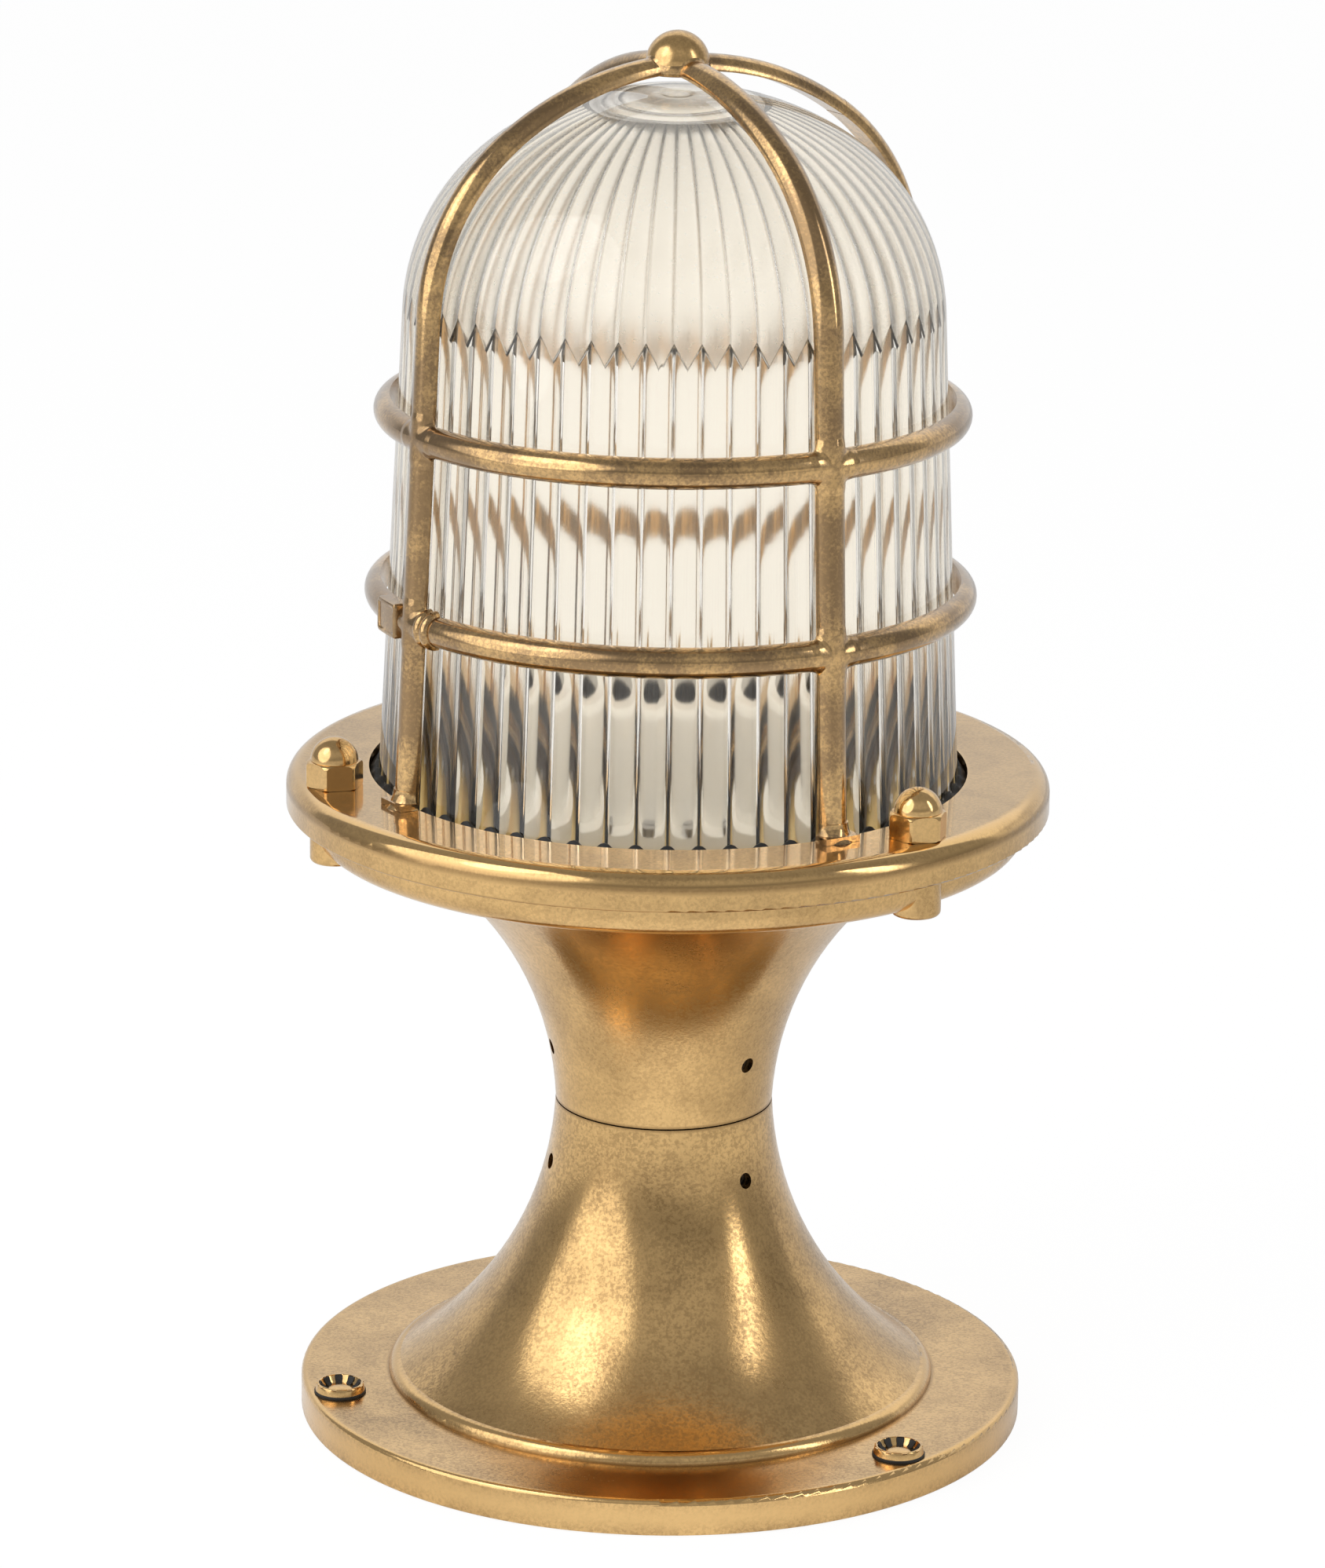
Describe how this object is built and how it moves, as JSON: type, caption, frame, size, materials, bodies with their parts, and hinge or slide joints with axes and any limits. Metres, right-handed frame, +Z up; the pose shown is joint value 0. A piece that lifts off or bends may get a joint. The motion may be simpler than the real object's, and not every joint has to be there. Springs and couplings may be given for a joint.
{
  "type": "post lantern",
  "caption": "Brass post lantern: a fluted glass dome under a ribbed guard, held by cap nuts to a head that turns on a trumpet foot with a round base plate.",
  "frame": {"origin": "middle of the base plate's underside", "axes": "+Z up the lantern's axis; -Y is the front that the picture shows, +X is to its right"},
  "size_m": [0.15, 0.15, 0.2788],
  "materials": {
    "cast_brass": "aged satin casting with brighter edges",
    "guard_brass": "aged, rubbed bright on top",
    "turned_brass": "turned and polished",
    "pipe_brass": "drawn tube",
    "contact_brass": "plain sheet",
    "steel": "zinc plated",
    "rubber": "matte",
    "porcelain": "glazed white",
    "block_plastic": "moulded",
    "brown_lead": "insulation",
    "blue_lead": "insulation",
    "green_lead": "insulation",
    "dome_glass": "clear pressed glass, fluted inside"
  },
  "bodies": {
    "base": {"base_trumpet": "cast_brass", "base_gasket": "rubber", "coupling_pipe": "pipe_brass", "cable_bush": "rubber", "lower_grub_screws": "steel"},
    "head": {"head_trumpet": "cast_brass", "upper_grub_screws": "steel", "flange_studs": "turned_brass", "seat_gasket": "rubber", "holder_tray": "steel", "tray_screws": "steel", "lampholder_body": "porcelain", "lampholder_screws": "steel", "screw_shell": "contact_brass", "centre_contact": "contact_brass", "terminal_block": "block_plastic", "terminal_screws": "steel", "earth_screw": "steel", "earth_nut": "steel", "line_lead": "brown_lead", "neutral_lead": "blue_lead", "earth_lead": "green_lead"},
    "glass": {"glass_wall": "dome_glass", "glass_dome": "dome_glass"},
    "guard": {"clamp_ring": "cast_brass", "ring_gasket": "rubber", "guard_rib_1": "guard_brass", "guard_rib_2": "guard_brass", "guard_rib_3": "guard_brass", "guard_rib_4": "guard_brass", "upper_hoop": "guard_brass", "lower_hoop": "guard_brass", "crown_ball": "turned_brass", "hoop_plate": "guard_brass", "hoop_ferrule": "guard_brass"},
    "nut_1": {"cap_nut_1": "turned_brass"},
    "nut_2": {"cap_nut_2": "turned_brass"},
    "nut_3": {"cap_nut_3": "turned_brass"}
  },
  "joints": [
    {"name": "head_swivel", "type": "hinge", "parent": "base", "child": "head", "pos_m": [0, 0, 0.0646], "axis": [0, 0, 1], "range_deg": [-180, 180]},
    {"name": "guard_lift", "type": "slide", "parent": "head", "child": "guard", "axis": [0, 0, 1], "range_m": [0, 0.3]},
    {"name": "glass_lift", "type": "slide", "parent": "head", "child": "glass", "axis": [0, 0, 1], "range_m": [0, 0.15]},
    {"name": "nut_1_turn", "type": "hinge", "parent": "guard", "child": "nut_1", "pos_m": [-0.06472, -0.01734, 0.1333], "axis": [0, 0, 1], "continuous": true},
    {"name": "nut_2_turn", "type": "hinge", "parent": "guard", "child": "nut_2", "pos_m": [0.04738, -0.04738, 0.1333], "axis": [0, 0, 1], "continuous": true},
    {"name": "nut_3_turn", "type": "hinge", "parent": "guard", "child": "nut_3", "pos_m": [0.01734, 0.06472, 0.1333], "axis": [0, 0, 1], "continuous": true}
  ],
  "couplings": [
    {"joint": "glass_lift", "follows": "guard_lift", "ratio": 0.5}
  ]
}
